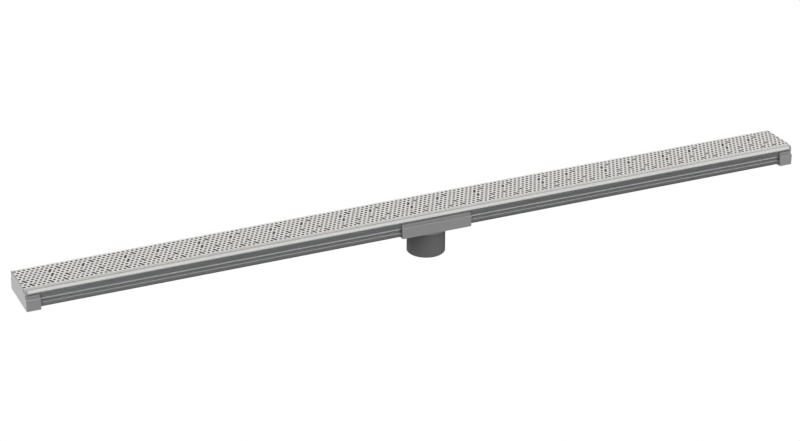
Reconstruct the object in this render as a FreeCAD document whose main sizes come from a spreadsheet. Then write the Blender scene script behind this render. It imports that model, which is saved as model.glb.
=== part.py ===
import FreeCAD, Part
import math
import os

import Sketcher
from FreeCAD import Vector

# Channel drain: a long slim channel that carries a perforated strip, with an end cap at
# each end and an outlet under its middle. X runs along the channel, Y across it, Z up.
# The origin is on the outlet's axis, at the lower end of the outlet pipe.

doc = FreeCAD.newDocument("channel_drain")
sheet = doc.addObject("Spreadsheet::Sheet", "sizes")

# Driving dimensions in millimetres. Depths are measured down from the top of the lips.
DIMENSIONS = [
    ("overall_length", 1200, "length over both end caps"),
    ("lip_level", 72.5, "top of the lips above the lower end of the pipe"),
    # channel, an extruded section
    ("channel_width", 70, "width over the two lips"),
    ("channel_depth", 27, "depth of the channel's underside"),
    ("wall", 2, "thickness of the side walls and the floor"),
    ("lip_width", 3.6, "width of each lip, seen from above"),
    ("lip_lean", 1.6, "how far the lip's outer face leans in at the top"),
    ("lip_lean_depth", 4.6, "depth of the leaning part of the lip's outer face"),
    ("lip_round", 1.8, "rounding of the lip's outer top edge"),
    ("lip_bulge_round", 6, "rounding between the leaning and the upright outer face"),
    ("lip_inner_round", 0.5, "rounding of the lip's inner top edge"),
    ("lip_height", 6.6, "height of the lip's outer face"),
    ("lip_heel_round", 2.2, "rounding under the lip's outer face"),
    ("side_recess", 2.4, "how far the side wall stands back from the lip's face"),
    ("shelf_depth", 4.3, "depth of the shelves that carry the grate"),
    ("shelf_reach", 2, "how far each shelf reaches in from the side wall"),
    ("shelf_thickness", 2, "thickness of each shelf at its edge"),
    ("rib_depth", 15.6, "depth of the clip rib's middle"),
    ("rib_reach", 1.2, "how far the clip rib stands out of the side wall"),
    ("rib_root", 2.6, "height of the clip rib at its root"),
    ("foot_top_depth", 18.8, "depth of the foot's top, where the side steps out again"),
    ("foot_reach", 2.2, "how far the foot stands out of the side wall"),
    ("rib_round", 0.5, "rounding of the outer edges of the rib and of the foot's top"),
    ("bottom_round", 3, "rounding of the channel's lower outer edges"),
    ("trough_round", 2, "rounding between the trough's floor and walls"),
    ("outlet_bore", 50, "diameter of the way down through floor, gasket and saddle"),
    # grate, a folded and perforated strip
    ("sheet_thickness", 1.5, "thickness of the grate's sheet"),
    ("grate_rise", 1.4, "how far the grate stands above the lips"),
    ("grate_gap", 0.8, "gap between the grate and each lip"),
    ("grate_end_gap", 0.3, "how far the grate stays short of each end of the drain"),
    ("bend_inner_round", 0.5, "inner rounding of the grate's folded edges"),
    ("slot_width", 4, "width of a slot, and diameter of a hole"),
    ("column_pitch", 6.61, "distance of the openings along the grate"),
    ("row_pitch", 6.15, "distance of the rows of openings across the grate"),
    ("pattern_start", 48.5, "first column of the slot pattern from the left end"),
    ("stay_width", 3, "width of the stays welded under the grate"),
    ("stay_height", 3.6, "height of the stays"),
    ("stay_end_distance", 100, "distance of the outermost stays from the drain's ends"),
    # end caps, saddle and seals
    ("fit_clearance", 0.3, "room between the channel and the fittings that wrap it"),
    ("fitting_proud", 3, "how far the fittings stand out of the lips' faces"),
    ("fitting_step_depth", 12.3, "depth of the step on the fittings' sides"),
    ("fitting_depth", 29, "depth of the fittings' underside"),
    ("band_set_back", 0.4, "how far the band above the step stays behind the lip's face"),
    ("fitting_round", 0.6, "rounding of the fittings' long outer edges"),
    ("cap_length", 20, "length of an end cap along the channel"),
    ("cap_overlap", 16, "length of the channel inside an end cap"),
    ("cap_wall", 3, "thickness of an end cap's end wall"),
    ("seal_thickness", 1, "thickness of the rubber seals"),
    ("saddle_length", 108, "length of the outlet saddle along the channel"),
    ("collar_wall", 3.5, "thickness of the collar round the pipe's neck"),
    ("collar_height", 6, "height of the collar below the saddle"),
    ("socket_stop", 1.2, "floor left in the saddle above the end of the pipe"),
    ("gasket_width", 3.5, "width of the outlet gasket's ring"),
    # outlet pipe
    ("pipe_diameter", 56, "outer diameter of the outlet pipe"),
    ("pipe_wall", 3, "wall of the outlet pipe"),
    ("pipe_neck_step", 0.5, "how far the neck in the collar is turned down"),
    ("pipe_neck_chamfer", 0.3, "chamfer of the pipe's shoulder under the collar"),
    ("pipe_clearance", 0.15, "room between the neck and the collar"),
    ("pipe_chamfer", 1, "chamfer of the pipe's lower outer edge"),
]

STAY_COUNT = 6
ROW_COUNT = 9
PERIOD_COLUMNS = 16

# The slots of one period of the grate's pattern, as (row, column, next row, its column).
# Rows count from the back, columns from the pattern's first one. Even rows of openings
# lie half a column beside the odd ones, so that each slot runs aslant between two rows.
FORWARD_SLOTS = [(3, 0, 4, -0.5), (5, 0, 6, -0.5), (3, 7, 4, 6.5)]
BACKWARD_SLOTS = [(2, 1.5, 3, 2), (2, 8.5, 3, 9), (6, 2.5, 7, 3), (6, 5.5, 7, 6), (6, 9.5, 7, 10),
                  (8, -5.5, 9, -5), (8, -1.5, 9, -1), (8, 1.5, 9, 2), (8, 7.5, 9, 8)]
LAST_SLOT_COLUMN = 10

# Flats that stand for each round end of a slot, because the slots are many.
SLOT_END_FLATS = 3

# Lengths below this, in millimetres, count as none when edges are looked up.
NEARLY_ZERO = 1e-3


class Size:
    """A length, as the text of an expression on the sheet and as its present value."""

    def __init__(self, text, value):
        self.text = text
        self.value = float(value)

    def joined(self, sign, other, value):
        return Size(f"({self.text} {sign} {other.text})", value)

    def __add__(self, other):
        other = as_size(other)
        return self.joined("+", other, self.value + other.value)

    def __sub__(self, other):
        other = as_size(other)
        return self.joined("-", other, self.value - other.value)

    def __mul__(self, other):
        other = as_size(other)
        return self.joined("*", other, self.value * other.value)

    def __truediv__(self, other):
        other = as_size(other)
        return self.joined("/", other, self.value / other.value)

    def __neg__(self):
        return ZERO - self


def as_size(number):
    return number if isinstance(number, Size) else Size(repr(float(number)), number)


ZERO = as_size(0)


def fill_sheet():
    """Writes the driving dimensions to the sheet and gives them back by name."""
    named = {}
    for row, (alias, value, meaning) in enumerate(DIMENSIONS, start=1):
        sheet.set(f"A{row}", meaning)
        sheet.set(f"B{row}", str(value))
        sheet.setAlias(f"B{row}", alias)
        named[alias] = Size(f"sizes.{alias}", value)
    doc.recompute()
    return named


D = fill_sheet()


def derived(alias, size):
    """Puts a size that follows from others on the sheet too, under a name of its own."""
    row = len(D) + 1
    sheet.set(f"B{row}", "=" + size.text.replace("sizes.", ""))
    sheet.setAlias(f"B{row}", alias)
    doc.recompute()
    D[alias] = Size(f"sizes.{alias}", size.value)
    return D[alias]


# Places that several pieces share. Half widths are measured from the middle plane.
HALF_LENGTH = D["overall_length"] / 2
HALF_WIDTH = D["channel_width"] / 2
LIP_INNER = HALF_WIDTH - D["lip_width"]
LIP_CORNER = HALF_WIDTH - D["lip_lean"]
WALL_OUTER = HALF_WIDTH - D["side_recess"]
WALL_INNER = WALL_OUTER - D["wall"]
FOOT_OUTER = WALL_OUTER + D["foot_reach"]
SHELF_EDGE = WALL_INNER - D["shelf_reach"]
SHELF_BOTTOM = D["shelf_depth"] + D["shelf_thickness"]
TROUGH_DEPTH = D["channel_depth"] - D["wall"]
FITTING_HALF = HALF_WIDTH + D["fitting_proud"]
SHOULDER_LENGTH = D["cap_length"] - D["cap_overlap"]
CHANNEL_LENGTH = D["overall_length"] - SHOULDER_LENGTH * 2
GRATE_LENGTH = D["overall_length"] - D["grate_end_gap"] * 2
GRATE_HALF = LIP_INNER - D["grate_gap"]
STAY_SPACING = (D["overall_length"] - D["stay_end_distance"] * 2) / (STAY_COUNT - 1)
FLANGE_INNER = GRATE_HALF - D["sheet_thickness"]
SHEET_UNDERSIDE = D["grate_rise"] - D["sheet_thickness"]
SADDLE_FLOOR_DEPTH = D["channel_depth"] + D["seal_thickness"]
BORE_RADIUS = D["outlet_bore"] / 2
PIPE_RADIUS = D["pipe_diameter"] / 2
PIPE_TOP_DEPTH = SADDLE_FLOOR_DEPTH + D["socket_stop"]
NECK_RADIUS = PIPE_RADIUS - D["pipe_neck_step"]
SOCKET_RADIUS = NECK_RADIUS + D["pipe_clearance"]
COLLAR_BOTTOM_DEPTH = D["fitting_depth"] + D["collar_height"]


def new_body(label):
    """A body whose height zero is the top of the lips."""
    body = doc.addObject("PartDesign::Body", label)
    body.Label = label
    body.setExpression("Placement.Base.z", D["lip_level"].text)
    return body


def origin_feature(body, role):
    return next(item for item in body.Origin.OriginFeatures if item.Role == role)


def new_sketch(body, name, role, offset):
    """A sketch parallel to one of the body's own planes, moved along the plane's normal."""
    sketch = body.newObject("Sketcher::SketchObject", name)
    sketch.AttachmentSupport = (origin_feature(body, role), [""])
    sketch.MapMode = "FlatFace"
    sketch.setExpression("AttachmentOffset.Base.z", offset.text)
    return sketch


def pin_point(curve, point):
    """Holds the first point of a curve at two sizes, measured from the sketch's origin."""
    pins = []
    for kind, axis, size in (("DistanceX", -2, point[0]), ("DistanceY", -1, point[1])):
        if size is ZERO:
            pins.append((Sketcher.Constraint("PointOnObject", curve, 1, axis), None))
        else:
            pins.append((Sketcher.Constraint(kind, -1, 1, curve, 1, size.value), size))
    return pins


def draw_polygon(sketch, points):
    """A closed outline of straight lines."""
    first = sketch.GeometryCount
    count = len(points)
    corners = [Vector(x.value, y.value, 0) for x, y in points]
    sketch.addGeometry([Part.LineSegment(corners[i], corners[(i + 1) % count]) for i in range(count)])
    rules = []
    for i in range(count):
        after = first + (i + 1) % count
        rules.append((Sketcher.Constraint("Coincident", first + i, 2, after, 1), None))
        rules += pin_point(first + i, points[i])
    number = sketch.ConstraintCount
    sketch.addConstraint([rule for rule, size in rules])
    for index, (rule, size) in enumerate(rules, start=number):
        if size is not None:
            sketch.setExpression(f"Constraints[{index}]", size.text)


def draw_circle(sketch, radius):
    """A circle round the sketch's origin."""
    curve = sketch.addGeometry(Part.Circle(Vector(0, 0, 0), Vector(0, 0, 1), radius.value))
    sketch.addConstraint(Sketcher.Constraint("Coincident", curve, 3, -1, 1))
    index = sketch.addConstraint(Sketcher.Constraint("Radius", curve, radius.value))
    sketch.setExpression(f"Constraints[{index}]", radius.text)


def pad(body, name, sketch, length, reverse=False):
    feature = body.newObject("PartDesign::Pad", name)
    feature.Profile = sketch
    feature.setExpression("Length", length.text)
    feature.Reversed = reverse
    return feature


def pocket(body, name, sketch, depth):
    """Cuts down from the sketch, and makes sure that something was cut."""
    doc.recompute()
    before = body.Shape.Volume
    feature = body.newObject("PartDesign::Pocket", name)
    feature.Profile = sketch
    feature.setExpression("Length", depth.text)
    doc.recompute()
    if body.Shape.Volume >= before:
        raise RuntimeError(f"{name} cuts nothing out of {body.Label}")
    return feature


def edges_along_x(feature, corners):
    """Names of the edges parallel to X that pass through the given (y, z) corners."""
    places = [(y.value, z.value) for y, z in corners]
    names = []
    for number, edge in enumerate(feature.Shape.Edges, start=1):
        box = edge.BoundBox
        if box.YLength > NEARLY_ZERO or box.ZLength > NEARLY_ZERO:
            continue
        middle = box.Center
        if any(abs(middle.y - y) + abs(middle.z - z) < NEARLY_ZERO for y, z in places):
            names.append(f"Edge{number}")
    return names


def round_along_x(body, name, corners, radius):
    """Rounds the long edges at the given corners of the section, on both sides."""
    doc.recompute()
    base = body.Tip
    both = corners + [(-y, z) for y, z in corners]
    names = edges_along_x(base, both)
    if not names:
        raise RuntimeError(f"{name} finds no edge on {body.Label}")
    fillet = body.newObject("PartDesign::Fillet", name)
    fillet.Base = (base, names)
    fillet.setExpression("Radius", radius.text)
    return fillet


def mirrored(points):
    """The same points on the other side of the middle plane, in reverse order."""
    return [(-y, z) for y, z in reversed(points)]


def side_profile(clearance):
    """The outer side of the channel, or a fit around it: clip rib and top of the foot.

    The flanks of the rib and of the foot rise two in one.
    """
    side = WALL_OUTER + clearance
    crest = side + D["rib_reach"]
    root = D["rib_root"] / 2 + clearance
    half_crest = root - D["rib_reach"] / 2
    middle = D["rib_depth"]
    rib = [(side, root - middle), (crest, half_crest - middle), (crest, -half_crest - middle),
           (side, -root - middle)]
    foot_top = clearance - D["foot_top_depth"]
    return rib + [(side, foot_top), (side + D["foot_reach"], foot_top - D["foot_reach"] / 2)]


def side_crests():
    """The outer corners of the clip rib and of the foot's top."""
    profile = side_profile(ZERO)
    return [profile[i] for i in (1, 2, 5)]


def lip_side():
    """The lip from its inner top edge to the lower end of its outer face."""
    return [(LIP_INNER, ZERO),
            (LIP_CORNER, ZERO),
            (HALF_WIDTH, -D["lip_lean_depth"]),
            (HALF_WIDTH, -D["lip_height"])]


def round_lips(body):
    """Rounds the outer face of both lips."""
    _, corner, bulge, _ = lip_side()
    round_along_x(body, f"{body.Label}_lip_rounds", [corner], D["lip_round"])
    round_along_x(body, f"{body.Label}_lip_bulges", [bulge], D["lip_bulge_round"])


def trough_side():
    """The inner side of the channel, from the floor up to the inside of the lip."""
    return [(WALL_INNER, -TROUGH_DEPTH),
            (WALL_INNER, -SHELF_BOTTOM - D["shelf_reach"]),
            (SHELF_EDGE, -SHELF_BOTTOM),
            (SHELF_EDGE, -D["shelf_depth"]),
            (LIP_INNER, -D["shelf_depth"])]


def make_channel():
    """The extruded channel, open at the top and at both ends, with a hole in its floor."""
    body = new_body("channel")
    heel = (WALL_OUTER, -D["lip_height"] - D["side_recess"])
    bottom = (FOOT_OUTER, -D["channel_depth"])
    lip = lip_side()
    outer = lip + [heel] + side_profile(ZERO) + [bottom]
    inner = trough_side()
    section = new_sketch(body, "channel_section", "YZ_Plane", -(CHANNEL_LENGTH / 2))
    draw_polygon(section, outer + mirrored(outer) + mirrored(inner) + inner)
    pad(body, "channel_extrusion", section, CHANNEL_LENGTH)
    round_lips(body)
    round_along_x(body, "lip_inner_rounds", [lip[0]], D["lip_inner_round"])
    round_along_x(body, "lip_heel_rounds", [lip[3]], D["lip_heel_round"])
    round_along_x(body, "rib_rounds", side_crests(), D["rib_round"])
    round_along_x(body, "bottom_rounds", [bottom], D["bottom_round"])
    round_along_x(body, "trough_rounds", [inner[0]], D["trough_round"])
    hole = new_sketch(body, "floor_hole_outline", "XY_Plane", -TROUGH_DEPTH)
    draw_circle(hole, BORE_RADIUS)
    pocket(body, "floor_hole", hole, D["wall"])
    return body


def opening_place(row, column):
    """Where an opening of the grate's pattern lies, seen from above."""
    x = D["pattern_start"] - HALF_LENGTH + D["column_pitch"] * column
    y = D["row_pitch"] * ((ROW_COUNT + 1) / 2 - row)
    return (x, ZERO if y.value == 0 else y)


def slot_end_offsets():
    """The corners of a slot's round end, from its middle: (ahead and aside, in x and y)."""
    run_x = D["column_pitch"] / 2
    run_y = D["row_pitch"]
    run = Size(f"sqrt({run_x.text} ^ 2 + {run_y.text} ^ 2)", math.hypot(run_x.value, run_y.value))
    along = (derived("slot_run_x", D["slot_width"] / 2 * run_x / run),
             derived("slot_run_y", D["slot_width"] / 2 * run_y / run))
    offsets = []
    for flat in range(SLOT_END_FLATS + 1):
        turn = math.radians(180 / SLOT_END_FLATS * flat - 90)
        ahead, aside = math.cos(turn), math.sin(turn)
        x = derived(f"slot_corner_x_{flat}", along[0] * ahead - along[1] * aside)
        y = derived(f"slot_corner_y_{flat}", along[1] * ahead + along[0] * aside)
        offsets.append((x, y))
    return offsets


def slot_points(row, column, next_row, next_column, offsets):
    """The outline of a slot that joins two places of the pattern, drawn with straight flats."""
    near = opening_place(row, column)
    far = opening_place(next_row, next_column)
    if near[0].value > far[0].value:
        ahead = [(near[0] + x, near[1] + y) for x, y in offsets]
        behind = [(far[0] - x, far[1] - y) for x, y in offsets]
        return ahead + behind
    ahead = [(far[0] + x, far[1] - y) for x, y in offsets]
    behind = [(near[0] - x, near[1] + y) for x, y in offsets]
    return ahead[::-1] + behind[::-1]


def make_grate():
    """The perforated strip: its long edges are folded down and stand on the shelves."""
    body = new_body("grate")
    top, foot = D["grate_rise"], -D["shelf_depth"]
    right = [(GRATE_HALF, top), (GRATE_HALF, foot), (FLANGE_INNER, foot), (FLANGE_INNER, SHEET_UNDERSIDE)]
    section = new_sketch(body, "grate_section", "YZ_Plane", -(GRATE_LENGTH / 2))
    draw_polygon(section, right + mirrored(right))
    pad(body, "folded_strip", section, GRATE_LENGTH)
    outer_bend = D["bend_inner_round"] + D["sheet_thickness"]
    round_along_x(body, "outer_bends", [right[0]], outer_bend)
    round_along_x(body, "inner_bends", [right[3]], D["bend_inner_round"])
    slots = new_sketch(body, "slot_outlines", "XY_Plane", top)
    offsets = slot_end_offsets()
    for slot in FORWARD_SLOTS + BACKWARD_SLOTS:
        draw_polygon(slots, slot_points(*slot, offsets))
    cut = pocket(body, "slots_of_one_period", slots, D["sheet_thickness"])
    pattern = body.newObject("PartDesign::LinearPattern", "slots")
    pattern.Originals = [cut]
    pattern.Direction = (origin_feature(body, "X_Axis"), [""])
    pattern.Mode = "Spacing"
    period = D["column_pitch"] * PERIOD_COLUMNS
    used = D["pattern_start"] + D["column_pitch"] * (LAST_SLOT_COLUMN + 1)
    room = (D["overall_length"] - used) / period
    pattern.setExpression("Offset", period.text)
    pattern.setExpression("Occurrences", f"floor({room.text}) + 1")
    body.Tip = pattern
    return body


def make_stay(number):
    """A flat bar across the underside of the grate, between its folded edges."""
    body = new_body(f"grate_stay_{number}")
    middle = STAY_SPACING * (number - (STAY_COUNT + 1) / 2)
    top, corner = SHEET_UNDERSIDE, D["bend_inner_round"]
    foot = top - D["stay_height"]
    right = [(FLANGE_INNER - corner, top), (FLANGE_INNER, top - corner), (FLANGE_INNER, foot)]
    section = new_sketch(body, f"stay_section_{number}", "YZ_Plane", middle - D["stay_width"] / 2)
    draw_polygon(section, right + mirrored(right))
    pad(body, f"stay_bar_{number}", section, D["stay_width"])
    return body


def wrap_outline(floor_depth):
    """The section of a fitting that clips round the channel from below."""
    gap = D["fit_clearance"]
    band = HALF_WIDTH - D["band_set_back"]
    # The band's top edge follows the slope under the lip, at the fit's clearance.
    slope_gap = gap * math.sqrt(2)
    band_top = -D["lip_height"] - D["band_set_back"] - slope_gap
    inner_top = -D["lip_height"] - D["side_recess"] + gap - slope_gap
    inner = WALL_OUTER + gap
    right = [(inner, inner_top), (band, band_top), (band, -D["fitting_step_depth"]),
             (FITTING_HALF, -D["fitting_step_depth"]), (FITTING_HALF, -D["fitting_depth"])]
    hollow = [(FOOT_OUTER + gap, -floor_depth)] + side_profile(gap)[::-1]
    return right + mirrored(right) + mirrored(hollow) + hollow


def round_wrap(body):
    """Softens the long outer edges of a fitting."""
    step = (FITTING_HALF, -D["fitting_step_depth"])
    foot = (FITTING_HALF, -D["fitting_depth"])
    round_along_x(body, f"{body.Label}_edges", [step, foot], D["fitting_round"])


def make_cap(label, end):
    """An end cap: the skirt clips on below the channel, and the rest goes on its section."""
    body = new_body(label)

    def start_of(length):
        """Where a stretch of the cap begins that reaches in from the drain's end."""
        return -HALF_LENGTH if end < 0 else HALF_LENGTH - length

    skirt_outline = wrap_outline(D["channel_depth"] + D["fit_clearance"])
    skirt = new_sketch(body, f"{label}_skirt", "YZ_Plane", start_of(D["cap_length"]))
    draw_polygon(skirt, skirt_outline)
    pad(body, f"{label}_skirt_length", skirt, D["cap_length"])
    round_wrap(body)

    # Trough and walls, which go on the channel's own section behind the seal.
    inner = trough_side()
    band = HALF_WIDTH - D["band_set_back"]
    core = (FOOT_OUTER + FITTING_HALF) / 2
    outer = lip_side() + [(band, -D["lip_height"] - D["band_set_back"]), (band, -D["fitting_step_depth"]),
                          (core, -D["fitting_step_depth"]), (core, -D["fitting_depth"])]
    bowl_length = SHOULDER_LENGTH - D["seal_thickness"]
    bowl = new_sketch(body, f"{label}_bowl", "YZ_Plane", start_of(bowl_length))
    draw_polygon(bowl, outer + mirrored(outer) + mirrored(inner) + inner)
    pad(body, f"{label}_bowl_length", bowl, bowl_length)

    # The lips' ends reach past the seal and meet the channel's own lips.
    lip = lip_side()[:3] + [(HALF_WIDTH, -SHELF_BOTTOM), (SHELF_EDGE, -SHELF_BOTTOM),
                            (SHELF_EDGE, -D["shelf_depth"]), (LIP_INNER, -D["shelf_depth"])]
    lips = new_sketch(body, f"{label}_lips", "YZ_Plane", start_of(SHOULDER_LENGTH))
    draw_polygon(lips, lip)
    draw_polygon(lips, mirrored(lip))
    pad(body, f"{label}_lips_length", lips, SHOULDER_LENGTH)

    # End wall, up to the underside of the grate between its folded edges.
    root = D["wall"] / 2
    side = WALL_INNER + root
    notch = FLANGE_INNER - D["fit_clearance"] - D["bend_inner_round"]
    wall_right = [(notch, SHEET_UNDERSIDE), (notch, -D["shelf_depth"]), (side, -D["shelf_depth"]),
                  (side, -TROUGH_DEPTH - root)]
    end_wall = new_sketch(body, f"{label}_end_wall", "YZ_Plane", start_of(D["cap_wall"]))
    draw_polygon(end_wall, wall_right + mirrored(wall_right))
    pad(body, f"{label}_end_wall_thickness", end_wall, D["cap_wall"])
    round_lips(body)
    return body


def make_end_seal(label, end):
    """A flat rubber seal between the end of the channel and the cap's shoulder."""
    body = new_body(label)
    thickness = D["seal_thickness"]
    inner_face = HALF_LENGTH - SHOULDER_LENGTH
    start = -inner_face - thickness if end < 0 else inner_face
    right = [(WALL_INNER, -SHELF_BOTTOM - D["shelf_reach"]), (WALL_OUTER, -SHELF_BOTTOM - D["shelf_reach"]),
             (WALL_OUTER, -D["channel_depth"])]
    hollow = [(WALL_INNER, -TROUGH_DEPTH)]
    section = new_sketch(body, f"{label}_outline", "YZ_Plane", start)
    draw_polygon(section, right + mirrored(right) + mirrored(hollow) + hollow)
    pad(body, f"{label}_body", section, thickness)
    round_along_x(body, f"{label}_corners", [right[2]], D["bottom_round"])
    return body


def make_saddle():
    """The outlet saddle: a trough that clips round the channel, with a collar for the pipe."""
    body = new_body("outlet_saddle")
    section = new_sketch(body, "saddle_section", "YZ_Plane", -(D["saddle_length"] / 2))
    draw_polygon(section, wrap_outline(SADDLE_FLOOR_DEPTH))
    pad(body, "saddle_trough", section, D["saddle_length"])
    round_wrap(body)
    collar = new_sketch(body, "collar_outline", "XY_Plane", -D["fitting_depth"])
    draw_circle(collar, SOCKET_RADIUS + D["collar_wall"])
    pad(body, "collar", collar, D["collar_height"], reverse=True)
    passage = new_sketch(body, "passage_outline", "XY_Plane", -SADDLE_FLOOR_DEPTH)
    draw_circle(passage, BORE_RADIUS)
    pocket(body, "passage", passage, D["socket_stop"])
    socket = new_sketch(body, "socket_outline", "XY_Plane", -PIPE_TOP_DEPTH)
    draw_circle(socket, SOCKET_RADIUS)
    pocket(body, "socket", socket, COLLAR_BOTTOM_DEPTH - PIPE_TOP_DEPTH)
    return body


def make_gasket():
    """The rubber ring between the channel's floor and the saddle's."""
    body = new_body("outlet_gasket")
    outline = new_sketch(body, "gasket_outline", "XY_Plane", -D["channel_depth"])
    draw_circle(outline, BORE_RADIUS + D["gasket_width"])
    draw_circle(outline, BORE_RADIUS)
    pad(body, "gasket_ring", outline, D["seal_thickness"], reverse=True)
    return body


def make_pipe():
    """The outlet pipe: its neck sits in the collar, and its shoulder meets the collar's rim."""
    body = new_body("outlet_pipe")
    inner = PIPE_RADIUS - D["pipe_wall"]
    shoulder = D["pipe_neck_chamfer"]
    lead_in = D["pipe_chamfer"]
    half_section = [(inner, -PIPE_TOP_DEPTH), (NECK_RADIUS, -PIPE_TOP_DEPTH),
                    (NECK_RADIUS, -COLLAR_BOTTOM_DEPTH),
                    (PIPE_RADIUS - shoulder, -COLLAR_BOTTOM_DEPTH),
                    (PIPE_RADIUS, -COLLAR_BOTTOM_DEPTH - shoulder),
                    (PIPE_RADIUS, lead_in - D["lip_level"]),
                    (PIPE_RADIUS - lead_in, -D["lip_level"]), (inner, -D["lip_level"])]
    section = new_sketch(body, "pipe_half_section", "XZ_Plane", ZERO)
    draw_polygon(section, half_section)
    tube = body.newObject("PartDesign::Revolution", "pipe_tube")
    tube.Profile = section
    tube.ReferenceAxis = (section, ["V_Axis"])
    tube.Angle = 360
    return body


def check_document(bodies):
    """Stops if any object failed or any sub-part has no sound solid."""
    doc.recompute()
    for item in doc.Objects:
        if "Invalid" in item.State or "Error" in item.State:
            raise RuntimeError(f"{item.Label} failed: {item.State}")
    for body in bodies:
        shape = body.Shape
        if shape.isNull() or not shape.isValid() or len(shape.Solids) != 1:
            raise RuntimeError(f"{body.Label} has no sound solid")


def main():
    bodies = [make_channel(), make_grate()]
    bodies += [make_stay(number) for number in range(1, STAY_COUNT + 1)]
    bodies += [make_cap("end_cap_left", -1), make_cap("end_cap_right", 1)]
    bodies += [make_end_seal("end_seal_left", -1), make_end_seal("end_seal_right", 1)]
    bodies += [make_saddle(), make_gasket(), make_pipe()]
    check_document(bodies)
    os.makedirs("parts", exist_ok=True)
    for body in bodies:
        body.Shape.exportStep(f"parts/{body.Label}.step")
        box = body.Shape.BoundBox
        size = f"{box.XLength:.2f} x {box.YLength:.2f} x {box.ZLength:.2f}"
        print(f"{body.Label}: {body.Shape.Volume:.0f} mm3, {size}, z {box.ZMin:.2f} to {box.ZMax:.2f}")


main()
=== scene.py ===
import math

import bmesh
import bpy
from mathutils import Matrix, Vector


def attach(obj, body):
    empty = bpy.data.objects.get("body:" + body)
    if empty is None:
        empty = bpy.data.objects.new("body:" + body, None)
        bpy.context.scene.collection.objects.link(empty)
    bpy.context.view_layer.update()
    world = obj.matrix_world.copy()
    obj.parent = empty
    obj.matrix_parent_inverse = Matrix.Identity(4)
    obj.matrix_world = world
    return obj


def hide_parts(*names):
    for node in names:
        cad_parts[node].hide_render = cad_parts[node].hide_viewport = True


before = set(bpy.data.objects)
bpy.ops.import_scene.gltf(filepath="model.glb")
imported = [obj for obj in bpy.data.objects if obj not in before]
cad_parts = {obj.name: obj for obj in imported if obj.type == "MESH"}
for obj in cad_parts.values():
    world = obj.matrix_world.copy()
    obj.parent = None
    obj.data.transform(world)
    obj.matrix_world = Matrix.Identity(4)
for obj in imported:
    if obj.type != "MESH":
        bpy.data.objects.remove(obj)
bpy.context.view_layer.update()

# Sizes are in millimetres, unless a comment says otherwise. Heights are measured from the top of the
# lips, which lies LIP_LEVEL above the lower end of the outlet pipe.
MM = 0.001
LIP_LEVEL = 72.5
# Points nearer to each other than this are one; it matches the four digits that points are rounded to.
SAME = 1e-4
DIGITS = 4
# Two turns nearer to each other than this, in radians, count as a tie.
TIE = 1e-9
# How far the centre of a face may lie from a surface and still belong to it.
FACE_MARGIN = 0.1
# A face is a wall when its normal points up or down by no more than this.
WALL_NORMAL = 0.3

# The channel's extrusion.
CHANNEL_HALF_LENGTH = 596.0
HALF_WIDTH = 35.0
LIP_INNER = 31.4
LIP_CREST = 33.4
WALL_OUTER = 32.6
WALL_INNER = 30.6
RIB_SIDE = 33.8
FOOT_SIDE = 34.8
FOOT_RADIUS = 3.0
SHELF_EDGE = 28.6
SHELF_TOP = -4.3
FLOOR_TOP = -25.0
FLOOR_BOTTOM = -27.0
TROUGH_RADIUS = 2.0
TROUGH_TOP = -4.5
ROUNDING_STEP = 6.0

# One side of the extrusion as corners: half width, height, radius of the rounding.
OUTER_SIDE = [
    (LIP_INNER, 0, 0.5), (LIP_CREST, 0, 1.8), (HALF_WIDTH, -4.6, 6.0), (HALF_WIDTH, -6.6, 2.2),
    (WALL_OUTER, -9.0, 0.4), (WALL_OUTER, -14.3, 0.25), (RIB_SIDE, -14.9, 0.45), (RIB_SIDE, -16.3, 0.45),
    (WALL_OUTER, -16.9, 0.25), (WALL_OUTER, -18.8, 0.25), (FOOT_SIDE, -19.9, 0.5),
    (FOOT_SIDE, FLOOR_BOTTOM, FOOT_RADIUS)]
INNER_SIDE = [
    (WALL_INNER, FLOOR_TOP, TROUGH_RADIUS), (WALL_INNER, -8.3, 0.4), (SHELF_EDGE, -6.3, 0.3),
    (SHELF_EDGE, SHELF_TOP, 0.25), (LIP_INNER, SHELF_TOP, 0.25)]

# The bore in the channel's floor, and the plate of floor that is filled round it.
BORE_RADIUS = 25.0
BORE_SIDES = 96
BORE_CHAMFER = 0.3
PLATE_HALF_LENGTH = 28.6
PLATE_STRIPS = 12
FLOOR_HALF_WIDTH = WALL_INNER - TROUGH_RADIUS
UNDERSIDE_HALF_WIDTH = FOOT_SIDE - FOOT_RADIUS

# The perforated strip.
SHEET_THICKNESS = 1.5
SHEET_TOP = 1.4
SHEET_UNDERSIDE = -0.1
SHEET_FOOT = SHELF_TOP
SHEET_HALF_LENGTH = 599.7
SHEET_HALF_WIDTH = 30.6
BEND_RADIUS = 2.0
INNER_BEND_RADIUS = 0.5
FOOT_CHAMFER = 0.2

# The pattern of the strip. Rows count from the back, columns from the left.
COLUMN_PITCH = 6.61
ROW_PITCH = 6.15
PATTERN_START = -551.5
ROWS = 9
PERIOD = 16
FIRST_COLUMN = -7
LAST_COLUMN = 174
HOLE_RADIUS = 2.0
HOLE_SIDES = 16
HOLE_CHAMFER = 0.12
SLOT_RADIUS = 1.75
SLOT_END_FLATS = 9
# Metal that stays between the last holes and the strip's ends.
END_MARGIN = 0.25
# A cell whose middle lies nearer to the strip's end than this has no hole.
CLOSED_END = 0.6
# The slots of one period: row and column of both ends.
SLOTS = [
    (3, 0, 4, -0.5), (5, 0, 6, -0.5), (3, 7, 4, 6.5), (2, 1.5, 3, 2), (2, 8.5, 3, 9), (6, 2.5, 7, 3),
    (6, 5.5, 7, 6), (6, 9.5, 7, 10), (8, -5.5, 9, -5), (8, -1.5, 9, -1), (8, 1.5, 9, 2), (8, 7.5, 9, 8)]

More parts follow.
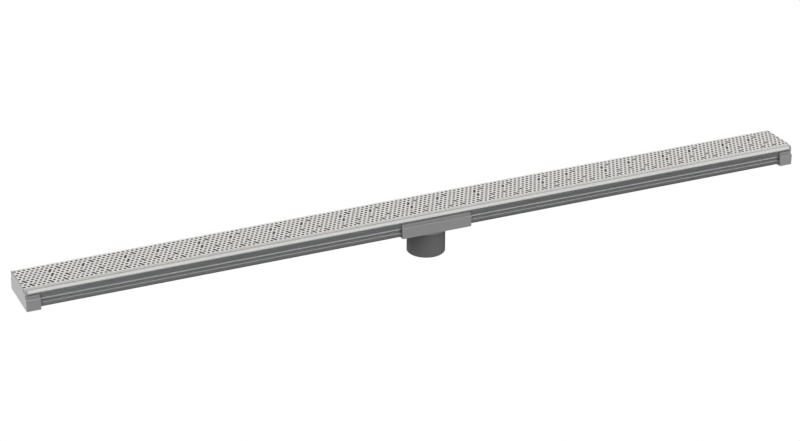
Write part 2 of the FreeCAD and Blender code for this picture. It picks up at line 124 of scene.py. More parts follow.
# Angles in degrees: edges sharper than the first are shaded as edges, edges of a moulding sharper than
# the second are rounded, and faces that differ by less than the third are one flat.
SHARP_ANGLE = 32
HARD_ANGLE = 28
FLAT_ANGLE = 0.5
MOULDING_ROUNDING = 0.2
# Distance in metres within which the corners of a CAD node are welded.
WELD = 1e-6

# What all finishes share.
SURFACE_IOR = 1.48
ROUGHNESS_SPREAD = 0.08
CLOUD_SCALE = 14.0
DUST_SCALE = 55.0
DUST_COLOUR = (0.62, 0.60, 0.57)
POLISH_GAIN = 1.25
POLISH_LIFT = 0.02
POLISH_CONTRAST = 6.0
# The painted shade in grooves and inner corners as a share of the plain colour, and how far in metres it
# looks for a wall.
PAINTED_SHADE_TONE = 0.35
PAINTED_SHADE_REACH = 0.006
RELIEF_DEPTH = 0.0001

# The studio, in metres. The floor lies a hair below the pipe's lower end.
STUDIO_FLOOR_HALF = 6.0
STUDIO_FLOOR_LEVEL = -0.0004
STUDIO_FLOOR_COLOUR = (0.124, 0.13, 0.137)
# The sky that lights the drain, from straight down (0) to straight up (1): place and colour.
SKY = [
    (0.47, (0.10, 0.10, 0.102)), (0.55, (1.07, 1.06, 1.035)), (0.66, (1.0, 1.0, 1.0)),
    (0.74, (0.84, 0.84, 0.84)), (0.89, (0.74, 0.74, 0.74)), (0.97, (0.40, 0.40, 0.40))]
# Soft lights: name, place, the point they face, width, height and power in watts.
SOFTBOXES = [
    ("left_softbox", (-2.4, 0.3, 0.9), (-0.5, 0, 0.05), 1.6, 1.4, 36),
    ("right_softbox", (2.4, -1.6, 0.6), (0.3, 0, 0.05), 1.4, 1.0, 9),
    ("top_softbox", (0.0, 1.6, 2.2), (0, 0, 0.05), 3.0, 1.2, 5)]


class Shell:
    """Collects the faces of one mesh in millimetres; points that fall together are one."""

    def __init__(self):
        self.points = []
        self.index = {}
        self.faces = []

    def point(self, x, y, z):
        key = (round(x, DIGITS), round(y, DIGITS), round(z, DIGITS))
        if key not in self.index:
            self.index[key] = len(self.points)
            self.points.append((x * MM, y * MM, (z + LIP_LEVEL) * MM))
        return self.index[key]

    def face(self, corners):
        """Adds a face without the corners that repeat their neighbour."""
        loop = []
        for corner in corners:
            number = self.point(*corner)
            if not loop or loop[-1] != number:
                loop.append(number)
        if loop[0] == loop[-1]:
            loop.pop()
        if len(loop) > 2:
            self.faces.append(loop)


def shade(obj):
    """Smooth shading with sharp edges, and normals led by the large faces."""
    mesh = obj.data
    mesh.polygons.foreach_set("use_smooth", [True] * len(mesh.polygons))
    mesh.set_sharp_from_angle(angle=math.radians(SHARP_ANGLE))
    weighted = obj.modifiers.new("normals", "WEIGHTED_NORMAL")
    weighted.keep_sharp = True
    weighted.weight = 100


def add_piece(name, mesh, replaced):
    """Puts a mesh into the scene as a piece that stands for CAD nodes."""
    obj = bpy.data.objects.new(name, mesh)
    bpy.context.scene.collection.objects.link(obj)
    shade(obj)
    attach(obj, "root")
    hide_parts(*replaced)
    return obj


def piece_from_shell(name, shell, replaced):
    """A piece made of the faces of a shell, with all normals outwards."""
    mesh = bpy.data.meshes.new(name)
    mesh.from_pydata(shell.points, [], shell.faces)
    bm = bmesh.new()
    bm.from_mesh(mesh)
    bmesh.ops.recalc_face_normals(bm, faces=bm.faces)
    bm.to_mesh(mesh)
    bm.free()
    return add_piece(name, mesh, replaced)


def softened(solid, name):
    """A copy of a CAD node whose hard edges are broken by a narrow rounding."""
    bm = bmesh.new()
    bm.from_mesh(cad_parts[solid].data)
    bmesh.ops.remove_doubles(bm, verts=bm.verts, dist=WELD)
    bmesh.ops.dissolve_limit(bm, angle_limit=math.radians(FLAT_ANGLE), verts=bm.verts, edges=bm.edges)
    inner = [edge for edge in bm.edges if len(edge.link_faces) == 2]
    hard = [edge for edge in inner if edge.calc_face_angle(0) > math.radians(HARD_ANGLE)]
    bmesh.ops.bevel(bm, geom=hard, offset=MOULDING_ROUNDING * MM, offset_type="OFFSET", segments=2,
                    profile=0.5, affect="EDGES", clamp_overlap=True)
    bmesh.ops.recalc_face_normals(bm, faces=bm.faces)
    mesh = bpy.data.meshes.new(name)
    bm.to_mesh(mesh)
    bm.free()
    return add_piece(name, mesh, [solid])


def rounded(corners):
    """An outline whose corners, given as (y, z, radius), are rounded."""
    outline = []
    count = len(corners)
    for i in range(count):
        y, z, radius = corners[i]
        here = Vector((y, z))
        if radius <= 0:
            outline.append((y, z))
            continue
        before = (Vector(corners[i - 1][:2]) - here).normalized()
        after = (Vector(corners[(i + 1) % count][:2]) - here).normalized()
        opening = before.angle(after)
        centre = here + (before + after).normalized() * (radius / math.sin(opening / 2))
        first = here + before * (radius / math.tan(opening / 2)) - centre
        last = here + after * (radius / math.tan(opening / 2)) - centre
        sweep = first.angle_signed(last)
        steps = max(2, math.ceil(math.degrees(abs(sweep)) / ROUNDING_STEP))
        for k in range(steps + 1):
            turn = -sweep * k / steps
            outline.append((centre.x + first.x * math.cos(turn) - first.y * math.sin(turn),
                            centre.y + first.x * math.sin(turn) + first.y * math.cos(turn)))
    return outline


def mirrored(corners):
    """The same corners on the other side of the channel, in the order that goes on round it."""
    return [(-y, z, radius) for y, z, radius in reversed(corners)]


def prism(shell, outline, stations, skip):
    """Sides of an extrusion along X; skip tells which faces to leave out."""
    for x0, x1 in zip(stations, stations[1:]):
        for a, b in zip(outline, outline[1:] + outline[:1]):
            if not skip(x0, x1, a, b):
                shell.face([(x0, *a), (x1, *a), (x1, *b), (x0, *b)])


def by_turn(points, centre):
    """Points as (turn, x, y) in the order of their turn round a centre, over four laps."""
    once = sorted((math.atan2(y - centre[1], x - centre[0]), x, y) for x, y in points)
    full = 2 * math.pi
    return [(turn + lap, x, y) for lap in (-full, 0, full, 2 * full) for turn, x, y in once]


def fill_ring(shell, inner, outer, centre, z):
    """Triangles between the points of two outlines round a centre, both as (x, y)."""
    near, far = by_turn(inner, centre), by_turn(outer, centre)
    j = len(outer)
    i = min(range(len(near)), key=lambda k: abs(near[k][0] - far[j][0]))
    last_i, last_j = i + len(inner), j + len(outer)
    while i < last_i or j < last_j:
        halfway = (far[j][0] + far[j + 1][0]) / 2
        if j >= last_j or (i < last_i and near[i + 1][0] < halfway + TIE):
            shell.face([(*near[i][1:], z), (*far[j][1:], z), (*near[i + 1][1:], z)])
            i += 1
        else:
            shell.face([(*near[i][1:], z), (*far[j][1:], z), (*far[j + 1][1:], z)])
            j += 1


def circle(radius, sides, centre=(0.0, 0.0)):
    """The corners of a regular outline as (x, y)."""
    turns = [2 * math.pi * (k + 0.5) / sides for k in range(sides)]
    return [(centre[0] + radius * math.cos(t), centre[1] + radius * math.sin(t)) for t in turns]


def wall(shell, lower, upper, z0, z1):
    """Side faces between two outlines with the same number of points."""
    count = len(lower)
    for i in range(count):
        j = (i + 1) % count
        shell.face([(*lower[i], z0), (*lower[j], z0), (*upper[j], z1), (*upper[i], z1)])


def build_channel():
    """The extrusion, with the hole in its floor."""
    right_half = OUTER_SIDE + [(0, FLOOR_BOTTOM, 0)]
    left_half = mirrored(OUTER_SIDE) + mirrored(INNER_SIDE)
    outline = rounded(right_half + left_half + [(0, FLOOR_TOP, 0)] + INNER_SIDE)
    strip = 2 * PLATE_HALF_LENGTH / PLATE_STRIPS
    plate_stations = [-PLATE_HALF_LENGTH + strip * k for k in range(PLATE_STRIPS + 1)]
    stations = [-CHANNEL_HALF_LENGTH] + plate_stations + [CHANNEL_HALF_LENGTH]

    def is_plate(x0, x1, a, b):
        level = abs(a[1] - b[1]) < SAME and min(abs(a[1] - FLOOR_TOP), abs(a[1] - FLOOR_BOTTOM)) < SAME
        half_floor = abs(a[0] - b[0]) > HALF_WIDTH / 2
        return level and half_floor and max(-x0, x1) <= PLATE_HALF_LENGTH + SAME

    shell = Shell()
    prism(shell, outline, stations, is_plate)
    for x in (-CHANNEL_HALF_LENGTH, CHANNEL_HALF_LENGTH):
        shell.face([(x, *point) for point in outline])
    bore, rim = circle(BORE_RADIUS, BORE_SIDES), circle(BORE_RADIUS + BORE_CHAMFER, BORE_SIDES)
    for half_width, level in ((FLOOR_HALF_WIDTH, FLOOR_TOP), (UNDERSIDE_HALF_WIDTH, FLOOR_BOTTOM)):
        plate = [(x, y) for x in plate_stations for y in (-half_width, half_width)]
        plate += [(-PLATE_HALF_LENGTH, 0.0), (PLATE_HALF_LENGTH, 0.0)]
        fill_ring(shell, rim, plate, (0, 0), level)
    wall(shell, rim, bore, FLOOR_TOP, FLOOR_TOP - BORE_CHAMFER)
    wall(shell, bore, bore, FLOOR_TOP - BORE_CHAMFER, FLOOR_BOTTOM + BORE_CHAMFER)
    wall(shell, bore, rim, FLOOR_BOTTOM + BORE_CHAMFER, FLOOR_BOTTOM)
    channel = piece_from_shell("channel_extrusion", shell, ["channel"])
    for face in channel.data.polygons:
        side, height = abs(face.center.y) / MM, face.center.z / MM - LIP_LEVEL
        in_trough = side < WALL_INNER + FACE_MARGIN and FLOOR_TOP - FACE_MARGIN < height < TROUGH_TOP
        face.material_index = int(in_trough)
    return channel


def site(row, column):
    """The middle of a place of the pattern as (x, y)."""
    return (PATTERN_START + COLUMN_PITCH * column, ROW_PITCH * ((ROWS + 1) / 2 - row))


def cell(row, column):
    """The six-sided cell round a place of the pattern, anticlockwise."""
    x, y = site(row, column)
    half = COLUMN_PITCH / 2
    low = ROW_PITCH / 2 - COLUMN_PITCH ** 2 / (8 * ROW_PITCH)
    high = ROW_PITCH / 2 + COLUMN_PITCH ** 2 / (8 * ROW_PITCH)
    return [(x + half, y + low), (x, y + high), (x - half, y + low), (x - half, y - low), (x, y - high),
            (x + half, y - low)]


def clip(polygon):
    """The part of a polygon between the two ends of the sheet."""
    for limit, keep in ((-SHEET_HALF_LENGTH, 1), (SHEET_HALF_LENGTH, -1)):
        kept = []
        for a, b in zip(polygon[-1:] + polygon[:-1], polygon):
            inside_a, inside_b = (a[0] - limit) * keep > SAME, (b[0] - limit) * keep > SAME
            if inside_a != inside_b:
                share = (limit - a[0]) / (b[0] - a[0])
                kept.append((limit, a[1] + (b[1] - a[1]) * share))
            if inside_b:
                kept.append(b)
        polygon = kept
    return polygon


def slot_outline(a, b, radius):
    """A slot with round ends from a to b, as points that go once round it. Each straight side has a
    point in its middle, where the two cells round the slot come nearest to it."""
    run = math.atan2(b[1] - a[1], b[0] - a[0])
    middle = ((a[0] + b[0]) / 2, (a[1] + b[1]) / 2)

    def beside(centre, turn):
        return (centre[0] + radius * math.cos(turn), centre[1] + radius * math.sin(turn))

    points = []
    for centre, start in ((b, run - math.pi / 2), (a, run + math.pi / 2)):
        points += [beside(centre, start + math.pi * k / SLOT_END_FLATS) for k in range(SLOT_END_FLATS + 1)]
        points.append(beside(middle, start + math.pi))
    return points


def slot_places():
    """The slots of the whole strip, as a table from the place of one end to that of the other."""
    ends = {}
    for start in range(-PERIOD, LAST_COLUMN + PERIOD, PERIOD):
        for row, column, next_row, next_column in SLOTS:
            here, there = (row, start + column), (next_row, start + next_column)
            if all(FIRST_COLUMN < place[1] < LAST_COLUMN for place in (here, there)):
                ends[here] = there
    return ends


def cut_opening(shell, lower, upper, corners, centre):
    """The sheet between the corners of a cell and its hole, whose upper edge is broken."""
    fill_ring(shell, upper, corners, centre, SHEET_TOP)
    wall(shell, upper, lower, SHEET_TOP, SHEET_TOP - HOLE_CHAMFER)
    wall(shell, lower, lower, SHEET_TOP - HOLE_CHAMFER, SHEET_UNDERSIDE)
    fill_ring(shell, lower, corners, centre, SHEET_UNDERSIDE)


def cut_hole(shell, x, y, corners):
    """A round hole, moved inwards where it would cut through the end of the strip."""
    nearest = SHEET_HALF_LENGTH - END_MARGIN - HOLE_RADIUS
    centre = (max(-nearest, min(nearest, x)), y)
    cut_opening(shell, circle(HOLE_RADIUS, HOLE_SIDES, centre),
                circle(HOLE_RADIUS + HOLE_CHAMFER, HOLE_SIDES, centre), corners, centre)


def cut_slot(shell, here, there):
    """A slot in the two cells of its ends. The corners that both cells have count once."""
    a, b = site(*here), site(*there)
    both = {(round(x, DIGITS), round(y, DIGITS)): (x, y) for x, y in cell(*here) + cell(*there)}
    cut_opening(shell, slot_outline(a, b, SLOT_RADIUS), slot_outline(a, b, SLOT_RADIUS + HOLE_CHAMFER),
                list(both.values()), ((a[0] + b[0]) / 2, (a[1] + b[1]) / 2))


def note_margin(margins, row, column):
    """Keeps the outer corners of a cell in the first or last row, where the plain margin begins."""
    if row in margins:
        middle = site(row, column)[1]
        outwards = 1 if row == 1 else -1
        for x, y in clip(cell(row, column)):
            if (y - middle) * outwards > 0:
                margins[row].add((round(x, DIGITS), y))


def perforate(shell):
    """The strip's flat with all its holes and slots. Returns where its plain margins begin."""
    slots = slot_places()
    far_ends = set(slots.values())
    margins = {1: set(), ROWS: set()}
    for row in range(1, ROWS + 1):
        shift = 0 if row % 2 else 0.5
        for step in range(FIRST_COLUMN - 2, LAST_COLUMN + 3):
            here = (row, step + shift)
            corners = clip(cell(*here))
            if here in far_ends or not corners:
                continue
            note_margin(margins, *here)
            x, y = site(*here)
            if here in slots:
                note_margin(margins, *slots[here])
                cut_slot(shell, here, slots[here])
            elif abs(x) > SHEET_HALF_LENGTH - CLOSED_END:
                for z in (SHEET_TOP, SHEET_UNDERSIDE):
                    shell.face([(*corner, z) for corner in corners])
            else:
                cut_hole(shell, x, y, corners)
    return margins


def quarter(centre, height, radius, step):
    """A quarter turn of the strip's section, from straight up to straight outwards."""
    turns = [math.radians(t) for t in range(0, 91, step)]
    return [(centre + radius * math.sin(t), height + radius * math.cos(t)) for t in turns]


def build_grate():
    """The strip with all its holes and slots and its folded-down edges."""
    shell = Shell()
    margins = perforate(shell)
    bend = SHEET_HALF_WIDTH - BEND_RADIUS
    inner_face = SHEET_HALF_WIDTH - SHEET_THICKNESS
    foot = [(SHEET_HALF_WIDTH, SHEET_FOOT + FOOT_CHAMFER), (SHEET_HALF_WIDTH - FOOT_CHAMFER, SHEET_FOOT),
            (inner_face + FOOT_CHAMFER, SHEET_FOOT), (inner_face, SHEET_FOOT + FOOT_CHAMFER)]
    outer_bend = quarter(bend, SHEET_TOP - BEND_RADIUS, BEND_RADIUS, step=15)
    inner_bend = quarter(inner_face - INNER_BEND_RADIUS, SHEET_UNDERSIDE - INNER_BEND_RADIUS,
                         INNER_BEND_RADIUS, step=30)
    section = outer_bend + foot + inner_bend[::-1]
    for side, row in ((1, 1), (-1, ROWS)):
        border = dict(sorted(margins[row]))
        between = [x for x in border if abs(x) < SHEET_HALF_LENGTH - SAME]
        stations = [-SHEET_HALF_LENGTH] + between + [SHEET_HALF_LENGTH]
        for x0, x1 in zip(stations, stations[1:]):
            for (y0, z0), (y1, z1) in zip(section, section[1:]):
                shell.face([(x0, side * y0, z0), (x1, side * y0, z0), (x1, side * y1, z1),
                            (x0, side * y1, z1)])
            for z in (SHEET_TOP, SHEET_UNDERSIDE):
                shell.face([(x0, border[x0], z), (x1, border[x1], z), (x1, side * bend, z),
                            (x0, side * bend, z)])
    # The cut ends: the sheet's thickness, the bends and the folded edges.
    for end in (-SHEET_HALF_LENGTH, SHEET_HALF_LENGTH):
        across = sorted({round(y / MM, DIGITS) for x, y, z in shell.points
                         if abs(x / MM - end) < SAME and abs(z / MM - LIP_LEVEL - SHEET_TOP) < SAME})
        across = [y for y in across if abs(y) <= bend + SAME]
        for y0, y1 in zip(across, across[1:]):
            shell.face([(end, y0, SHEET_TOP), (end, y1, SHEET_TOP), (end, y1, SHEET_UNDERSIDE),
                        (end, y0, SHEET_UNDERSIDE)])
        for side in (1, -1):
            shell.face([(end, side * y, z) for y, z in section])
    strip = piece_from_shell("perforated_strip", shell, ["grate"])
    for face in strip.data.polygons:
        from_middle, along = abs(face.center.y) / MM, abs(face.center.x) / MM
        inside = from_middle < bend and along < SHEET_HALF_LENGTH - FACE_MARGIN
        # The second finish is for the walls of the holes and slots: dark, partly the punched edge's own
        # tone and partly painted shade inside the holes.
        face.material_index = int(inside and abs(face.normal.z) < WALL_NORMAL)
    return strip


def new_group(name, inputs, outputs):
    """An empty node group with its sockets, and the nodes where it takes in and gives out."""
    group = bpy.data.node_groups.new(name, "ShaderNodeTree")
    for label, kind, value in inputs:
        group.interface.new_socket(name=label, in_out="INPUT", socket_type=kind).default_value = value
    for label, kind in outputs:
        group.interface.new_socket(name=label, in_out="OUTPUT", socket_type=kind)
    return group, group.nodes.new("NodeGroupInput"), group.nodes.new("NodeGroupOutput")


def node(tree, kind, **settings):
    """A new node with its settings."""
    made = tree.nodes.new(kind)
    for key, value in settings.items():
        setattr(made, key, value)
    return made


def math_node(tree, operation, a, b, clamp=False):
    """The outcome of an operation on two values, each a number or another node's output."""
    made = node(tree, "ShaderNodeMath", operation=operation, use_clamp=clamp)
    for socket, value in zip(made.inputs, (a, b)):
        if isinstance(value, (int, float)):
            socket.default_value = value
        else:
            tree.links.new(value, socket)
    return made.outputs[0]


def make_grain_group():
    """Fine grain, stretched along one direction, as a value from 0 to 1."""
    group, given, result = new_group(
        "surface_grain",
        [("Stretch", "NodeSocketVector", (1, 1, 1)), ("Scale", "NodeSocketFloat", 1000.0),
         ("Detail", "NodeSocketFloat", 3.0)],
        [("Value", "NodeSocketFloat")])
    place = node(group, "ShaderNodeTexCoord")
    stretched = node(group, "ShaderNodeVectorMath", operation="MULTIPLY")
    group.links.new(place.outputs["Object"], stretched.inputs[0])
    group.links.new(given.outputs["Stretch"], stretched.inputs[1])
    noise = node(group, "ShaderNodeTexNoise")
    group.links.new(stretched.outputs[0], noise.inputs["Vector"])
    group.links.new(given.outputs["Scale"], noise.inputs["Scale"])
    group.links.new(given.outputs["Detail"], noise.inputs["Detail"])
    group.links.new(noise.outputs["Fac"], result.inputs["Value"])
    return group


def make_edge_group():
    """A mask of the softened edges, where handling has polished them."""
    group, given, result = new_group(
        "edge_polish",
        [("Radius", "NodeSocketFloat", 0.0004), ("Strength", "NodeSocketFloat", 1.0)],
        [("Mask", "NodeSocketFloat")])
    bevel = node(group, "ShaderNodeBevel", samples=4)
    group.links.new(given.outputs["Radius"], bevel.inputs["Radius"])
    geometry = node(group, "ShaderNodeNewGeometry")
    dot = node(group, "ShaderNodeVectorMath", operation="DOT_PRODUCT")
    group.links.new(bevel.outputs[0], dot.inputs[0])
    group.links.new(geometry.outputs["Normal"], dot.inputs[1])
    turned = math_node(group, "SUBTRACT", 1.0, dot.outputs["Value"])
    raised = math_node(group, "MULTIPLY", turned, POLISH_CONTRAST, clamp=True)
    mask = math_node(group, "MULTIPLY", raised, given.outputs["Strength"], clamp=True)
    group.links.new(mask, result.inputs["Mask"])
    return group


def make_dust_group():
    """A thin film on surfaces that face up, broken by noise."""
    group, given, result = new_group(
        "settled_dust",
        [("Amount", "NodeSocketFloat", 0.1), ("Scale", "NodeSocketFloat", 60.0)],
        [("Mask", "NodeSocketFloat")])
    geometry = node(group, "ShaderNodeNewGeometry")
    split = node(group, "ShaderNodeSeparateXYZ")
    group.links.new(geometry.outputs["Normal"], split.inputs[0])
    facing = math_node(group, "MAXIMUM", split.outputs["Z"], 0.0)
    place = node(group, "ShaderNodeTexCoord")
    noise = node(group, "ShaderNodeTexNoise")
    noise.inputs["Detail"].default_value = 4.0
    group.links.new(place.outputs["Object"], noise.inputs["Vector"])
    group.links.new(given.outputs["Scale"], noise.inputs["Scale"])
    broken = math_node(group, "MULTIPLY", facing, noise.outputs["Fac"])
    mask = math_node(group, "MULTIPLY", broken, given.outputs["Amount"], clamp=True)
    group.links.new(mask, result.inputs["Mask"])
    return group


def make_painted_shade_group():
    """A mask of grooves and inner corners, where shade is painted."""
    group, given, result = new_group(
        "painted_recess_shade",
        [("Distance", "NodeSocketFloat", PAINTED_SHADE_REACH), ("Strength", "NodeSocketFloat", 1.0)],
        [("Mask", "NodeSocketFloat")])
    # Painted shade: the less open sky a point sees within the distance, the darker it is painted.
    open_sky = node(group, "ShaderNodeAmbientOcclusion", samples=8)
    group.links.new(given.outputs["Distance"], open_sky.inputs["Distance"])
    hidden = math_node(group, "SUBTRACT", 1.0, open_sky.outputs["AO"])
    mask = math_node(group, "MULTIPLY", hidden, given.outputs["Strength"], clamp=True)
    group.links.new(mask, result.inputs["Mask"])
    return group


GRAIN = make_grain_group()
EDGE = make_edge_group()
DUST = make_dust_group()
PAINTED_SHADE_GROUP = make_painted_shade_group()


def use_group(tree, group, **values):
    """A node that stands for a group, with the values of its inputs."""
    made = node(tree, "ShaderNodeGroup", node_tree=group)
    for key, value in values.items():
        made.inputs[key].default_value = value
    return made


def mix_colour(tree, factor, a, b):
    """A mix of two colours, each a tuple or another node's output."""
    made = node(tree, "ShaderNodeMix", data_type="RGBA")
    tree.links.new(factor, made.inputs["Factor"])
    for name, value in (("A", a), ("B", b)):
        socket = next(s for s in made.inputs if s.name == name and s.type == "RGBA")
        if isinstance(value, tuple):
            socket.default_value = (*value, 1.0)
        else:
            tree.links.new(value, socket)
    return next(s for s in made.outputs if s.type == "RGBA")


def make_material(name, colour, lighter, roughness, metallic, stretch, scale, bump, polish, dust,
                  painted_shade_strength=0.0):
    """A surface that drifts from its colour to the lighter one, with grain, polished edges and a little
    dust, and with painted shade in grooves and inner corners where its strength is above 0."""
    material = bpy.data.materials.new(name)
    material.use_nodes = True
    tree = material.node_tree
    surface = tree.nodes["Principled BSDF"]
    surface.inputs["Metallic"].default_value = metallic
    surface.inputs["IOR"].default_value = SURFACE_IOR
    grain = use_group(tree, GRAIN, Stretch=stretch, Scale=scale, Detail=3.0)
    clouds = use_group(tree, GRAIN, Stretch=(1.0, 1.0, 1.0), Scale=CLOUD_SCALE, Detail=2.0)
    edge = use_group(tree, EDGE, Strength=polish)
    film = use_group(tree, DUST, Amount=dust, Scale=DUST_SCALE)
    polished = tuple(min(1.0, c * POLISH_GAIN + POLISH_LIFT) for c in lighter)
    mixed = mix_colour(tree, clouds.outputs["Value"], colour, lighter)
    worn = mix_colour(tree, edge.outputs["Mask"], mixed, polished)
    tone = mix_colour(tree, film.outputs["Mask"], worn, DUST_COLOUR)
    # Painted shade: grooves and inner corners are darkened towards a share of the plain colour.
    if painted_shade_strength:
        shade_node = use_group(tree, PAINTED_SHADE_GROUP, Distance=PAINTED_SHADE_REACH, Strength=painted_shade_strength)
        tone = mix_colour(tree, shade_node.outputs["Mask"], tone, tuple(c * PAINTED_SHADE_TONE for c in colour))
    tree.links.new(tone, surface.inputs["Base Color"])
    centred = math_node(tree, "SUBTRACT", grain.outputs["Value"], 0.5)
    shift = math_node(tree, "MULTIPLY", centred, ROUGHNESS_SPREAD * 2)
    tree.links.new(math_node(tree, "ADD", shift, roughness, clamp=True), surface.inputs["Roughness"])
    relief = node(tree, "ShaderNodeBump")
    relief.inputs["Strength"].default_value = bump
    relief.inputs["Distance"].default_value = RELIEF_DEPTH
    tree.links.new(grain.outputs["Value"], relief.inputs["Height"])
    tree.links.new(relief.outputs[0], surface.inputs["Normal"])
    return material


# The channel's outside and the fitting mouldings carry painted shade in their grooves and inner corners.
CHANNEL_METAL = make_material(
    "channel_satin_metal", (0.80, 0.80, 0.795), (0.85, 0.85, 0.845), roughness=0.36, metallic=1.0,
    stretch=(0.02, 1.0, 1.0), scale=2600.0, bump=0.25, polish=0.3, dust=0.03, painted_shade_strength=1.6)
TROUGH_METAL = make_material(
    "channel_trough_metal", (0.82, 0.82, 0.815), (0.86, 0.86, 0.855), roughness=0.7, metallic=0.3,
    stretch=(0.02, 1.0, 1.0), scale=2600.0, bump=0.25, polish=0.0, dust=0.03)
STRIP_METAL = make_material(
    "strip_satin_metal", (0.785, 0.775, 0.75), (0.83, 0.82, 0.795), roughness=0.34, metallic=1.0,
    stretch=(0.03, 1.0, 1.0), scale=2200.0, bump=0.2, polish=0.4, dust=0.03)
# Partly the punched edge's own tone and partly painted shade: the hole walls are made dark so that the
# holes read as shaded.
PUNCHED_EDGE_AND_HOLE_SHADE = make_material(
    "strip_punched_edge_and_hole_shade", (0.22, 0.22, 0.21), (0.30, 0.29, 0.28), roughness=0.5, metallic=1.0,
    stretch=(1.0, 1.0, 0.1), scale=2200.0, bump=0.3, polish=0.0, dust=0.0)
FITTING_MOULDING = make_material(
    "fitting_moulding", (0.42, 0.42, 0.422), (0.455, 0.455, 0.458), roughness=0.5, metallic=0.0,
    stretch=(1.0, 1.0, 1.0), scale=1800.0, bump=0.25, polish=0.35, dust=0.05, painted_shade_strength=0.9)
PIPE_PLASTIC = make_material(
    "pipe_extrusion", (0.21, 0.21, 0.214), (0.23, 0.23, 0.235), roughness=0.42, metallic=0.0,
    stretch=(1.0, 1.0, 0.05), scale=1500.0, bump=0.15, polish=0.3, dust=0.04)
SEAL_RUBBER = make_material(
    "seal_compound", (0.028, 0.028, 0.028), (0.04, 0.04, 0.04), roughness=0.75, metallic=0.0,
    stretch=(1.0, 1.0, 1.0), scale=2500.0, bump=0.3, polish=0.2, dust=0.08)


def paint(obj, *materials):
    """Gives an object its finishes; each face keeps the number of its finish."""
    numbers = [face.material_index for face in obj.data.polygons]
    obj.data.materials.clear()
    for material in materials:
        obj.data.materials.append(material)
    obj.data.polygons.foreach_set("material_index", numbers)


paint(build_channel(), CHANNEL_METAL, TROUGH_METAL)
paint(build_grate(), STRIP_METAL, PUNCHED_EDGE_AND_HOLE_SHADE)
paint(softened("end_cap_left", "left_cap_moulding"), FITTING_MOULDING)
paint(softened("end_cap_right", "right_cap_moulding"), FITTING_MOULDING)
paint(softened("outlet_saddle", "saddle_moulding"), FITTING_MOULDING)
paint(softened("outlet_pipe", "pipe_tube"), PIPE_PLASTIC)
for name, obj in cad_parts.items():
    if name.startswith("grate_stay"):
        paint(obj, STRIP_METAL)
    elif name.startswith("end_seal") or name == "outlet_gasket":
        paint(obj, SEAL_RUBBER)
    elif obj.hide_render:
        obj.data.materials.clear()


def stage_floor():
    """A floor that the camera sees white, that lights the drain as a grey one, and that is clear from
    below."""
    half = STUDIO_FLOOR_HALF
    corners = [(-half, -half, 0), (half, -half, 0), (half, half, 0), (-half, half, 0)]
    mesh = bpy.data.meshes.new("studio_floor")
    mesh.from_pydata(corners, [], [(0, 1, 2, 3)])
    floor = bpy.data.objects.new("studio_floor", mesh)
    bpy.context.scene.collection.objects.link(floor)
    floor.location.z = STUDIO_FLOOR_LEVEL
    material = bpy.data.materials.new("studio_floor_paint")
    material.use_nodes = True
    tree = material.node_tree
    tree.nodes.clear()
    result = node(tree, "ShaderNodeOutputMaterial")
    path = node(tree, "ShaderNodeLightPath")
    geometry = node(tree, "ShaderNodeNewGeometry")
    matt = node(tree, "ShaderNodeBsdfDiffuse")
    matt.inputs["Color"].default_value = (*STUDIO_FLOOR_COLOUR, 1)
    white = node(tree, "ShaderNodeEmission")
    white.inputs["Color"].default_value = (1, 1, 1, 1)
    clear = node(tree, "ShaderNodeBsdfTransparent")
    seen = node(tree, "ShaderNodeMixShader")
    tree.links.new(path.outputs["Is Camera Ray"], seen.inputs[0])
    tree.links.new(matt.outputs[0], seen.inputs[1])
    tree.links.new(white.outputs[0], seen.inputs[2])
    below = node(tree, "ShaderNodeMixShader")
    tree.links.new(geometry.outputs["Backfacing"], below.inputs[0])
    tree.links.new(seen.outputs[0], below.inputs[1])
    tree.links.new(clear.outputs[0], below.inputs[2])
    tree.links.new(below.outputs[0], result.inputs[0])
    mesh.materials.append(material)


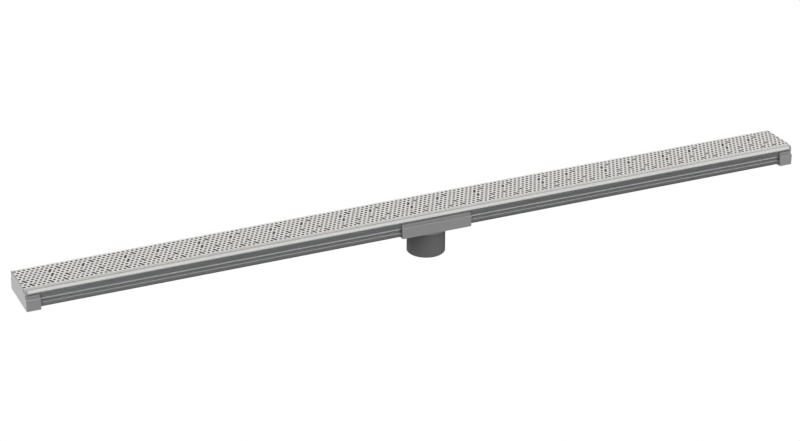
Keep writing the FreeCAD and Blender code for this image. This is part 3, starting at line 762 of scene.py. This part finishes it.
def studio_world():
    """White for the camera; for everything else dark below, brightest at the horizon and dimmer above."""
    world = bpy.data.worlds.new("studio")
    bpy.context.scene.world = world
    world.use_nodes = True
    tree = world.node_tree
    tree.nodes.clear()
    result = node(tree, "ShaderNodeOutputWorld")
    path = node(tree, "ShaderNodeLightPath")
    place = node(tree, "ShaderNodeTexCoord")
    split = node(tree, "ShaderNodeSeparateXYZ")
    tree.links.new(place.outputs["Generated"], split.inputs[0])
    ramp = node(tree, "ShaderNodeValToRGB")
    upwards = math_node(tree, "ADD", split.outputs["Z"], 1.0)
    tree.links.new(math_node(tree, "MULTIPLY", upwards, 0.5), ramp.inputs[0])
    stops = ramp.color_ramp.elements
    for stop, (position, colour) in zip(list(stops), SKY):
        stop.position, stop.color = position, (*colour, 1)
    for position, colour in SKY[2:]:
        stops.new(position).color = (*colour, 1)
    soft = node(tree, "ShaderNodeBackground")
    tree.links.new(ramp.outputs[0], soft.inputs[0])
    white = node(tree, "ShaderNodeBackground")
    white.inputs[0].default_value = (1, 1, 1, 1)
    both = node(tree, "ShaderNodeMixShader")
    tree.links.new(path.outputs["Is Camera Ray"], both.inputs[0])
    tree.links.new(soft.outputs[0], both.inputs[1])
    tree.links.new(white.outputs[0], both.inputs[2])
    tree.links.new(both.outputs[0], result.inputs[0])


def softbox(name, place, target, width, height, power):
    """A soft light that the metal doesn't mirror."""
    data = bpy.data.lights.new(name, "AREA")
    data.shape = "RECTANGLE"
    data.size, data.size_y = width, height
    data.energy = power
    lamp = bpy.data.objects.new(name, data)
    bpy.context.scene.collection.objects.link(lamp)
    lamp.location = place
    lamp.rotation_euler = (Vector(target) - Vector(place)).to_track_quat("-Z", "Y").to_euler()
    lamp.visible_glossy = False


def camera_at(place, azimuth, elevation, roll, lens):
    """Looks along azimuth from +Y towards +X, down by elevation, all in degrees."""
    a, e, r = (math.radians(v) for v in (azimuth, elevation, roll))
    ahead = Vector((math.sin(a) * math.cos(e), math.cos(a) * math.cos(e), -math.sin(e)))
    level = Vector((math.cos(a), -math.sin(a), 0))
    up = level.cross(ahead)
    right = level * math.cos(r) + up * math.sin(r)
    up = right.cross(ahead)
    data = bpy.data.cameras.new("photo_camera")
    data.lens = lens
    data.sensor_width = 36.0
    data.clip_end = 50.0
    camera = bpy.data.objects.new("photo_camera", data)
    bpy.context.scene.collection.objects.link(camera)
    rotation = Matrix((right, up, -ahead)).transposed()
    camera.matrix_world = Matrix.Translation(place) @ rotation.to_4x4()
    bpy.context.scene.camera = camera


stage_floor()
studio_world()
for box in SOFTBOXES:
    softbox(*box)
camera_at(Vector((-1.19278, -2.50661, 1.35562)), azimuth=24.672, elevation=25.254, roll=0.321, lens=95.904)
bpy.context.scene.view_settings.view_transform = "Standard"
